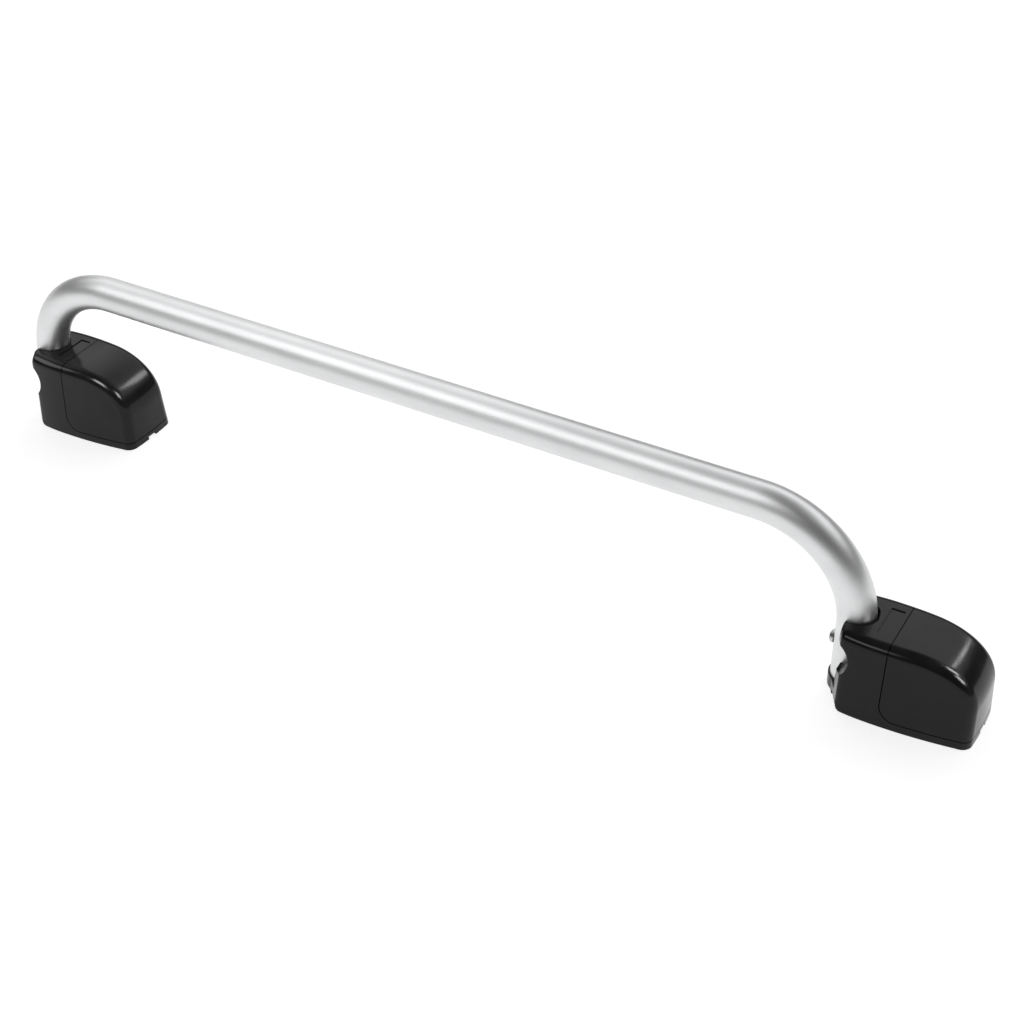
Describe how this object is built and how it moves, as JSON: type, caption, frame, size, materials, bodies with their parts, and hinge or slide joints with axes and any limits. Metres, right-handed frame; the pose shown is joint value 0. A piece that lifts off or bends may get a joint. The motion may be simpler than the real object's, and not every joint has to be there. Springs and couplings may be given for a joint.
{
  "type": "suction grab bar",
  "caption": "Bent round tube grab bar on two suction feet, each with a hinged nose cover that works as the lever of its suction cup.",
  "frame": {"origin": "middle of the underside of the whole object", "axes": "+X along the bar towards the noses of the feet, +Z away from the mounting surface"},
  "size_m": [0.9027, 0.07, 0.158],
  "materials": {
    "anodised_aluminium": "satin anodised",
    "black_plastic": "semi-gloss moulded",
    "inner_plastic": "matt glass-filled",
    "plug_plastic": "matt",
    "cup_rubber": "smooth rubber",
    "steel": "zinc plated",
    "bracket_steel": "pressed sheet",
    "stem_metal": "turned",
    "spring_steel": "spring wire"
  },
  "bodies": {
    "frame": {"bar_tube": "anodised_aluminium", "left_housing": "black_plastic", "left_chassis": "inner_plastic", "left_chassis_screws": "steel", "left_hinge_pin": "steel", "left_spring": "spring_steel", "left_suction_cup": "cup_rubber", "left_tube_screw": "steel", "left_tube_nut": "steel", "left_tube_plug": "plug_plastic", "right_housing": "black_plastic", "right_chassis": "inner_plastic", "right_chassis_screws": "steel", "right_hinge_pin": "steel", "right_spring": "spring_steel", "right_suction_cup": "cup_rubber", "right_tube_screw": "steel", "right_tube_nut": "steel", "right_tube_plug": "plug_plastic"},
    "left_lever": {"left_lever_cover": "black_plastic", "left_cam_bracket": "bracket_steel", "left_cam_screws": "steel"},
    "left_lift": {"left_stem": "stem_metal", "left_cross_pin": "steel", "left_pressure_plate": "inner_plastic"},
    "right_lever": {"right_lever_cover": "black_plastic", "right_cam_bracket": "bracket_steel", "right_cam_screws": "steel"},
    "right_lift": {"right_stem": "stem_metal", "right_cross_pin": "steel", "right_pressure_plate": "inner_plastic"}
  },
  "joints": [
    {"name": "left_lever_hinge", "type": "hinge", "parent": "frame", "child": "left_lever", "pos_m": [-0.3955, 0, 0.0645], "axis": [0, -1, 0], "range_deg": [0, 55]},
    {"name": "left_stem_slide", "type": "slide", "parent": "frame", "child": "left_lift", "axis": [0, 0, -1], "range_m": [0, 0.0035], "deforming": ["left_suction_cup", "left_spring"]},
    {"name": "right_lever_hinge", "type": "hinge", "parent": "frame", "child": "right_lever", "pos_m": [0.3845, 0, 0.0645], "axis": [0, -1, 0], "range_deg": [0, 55]},
    {"name": "right_stem_slide", "type": "slide", "parent": "frame", "child": "right_lift", "axis": [0, 0, -1], "range_m": [0, 0.0035], "deforming": ["right_suction_cup", "right_spring"]}
  ],
  "couplings": [
    {"joint": "left_stem_slide", "follows": "left_lever_hinge", "m_per_rad": 0.003646},
    {"joint": "right_stem_slide", "follows": "right_lever_hinge", "m_per_rad": 0.003646}
  ]
}
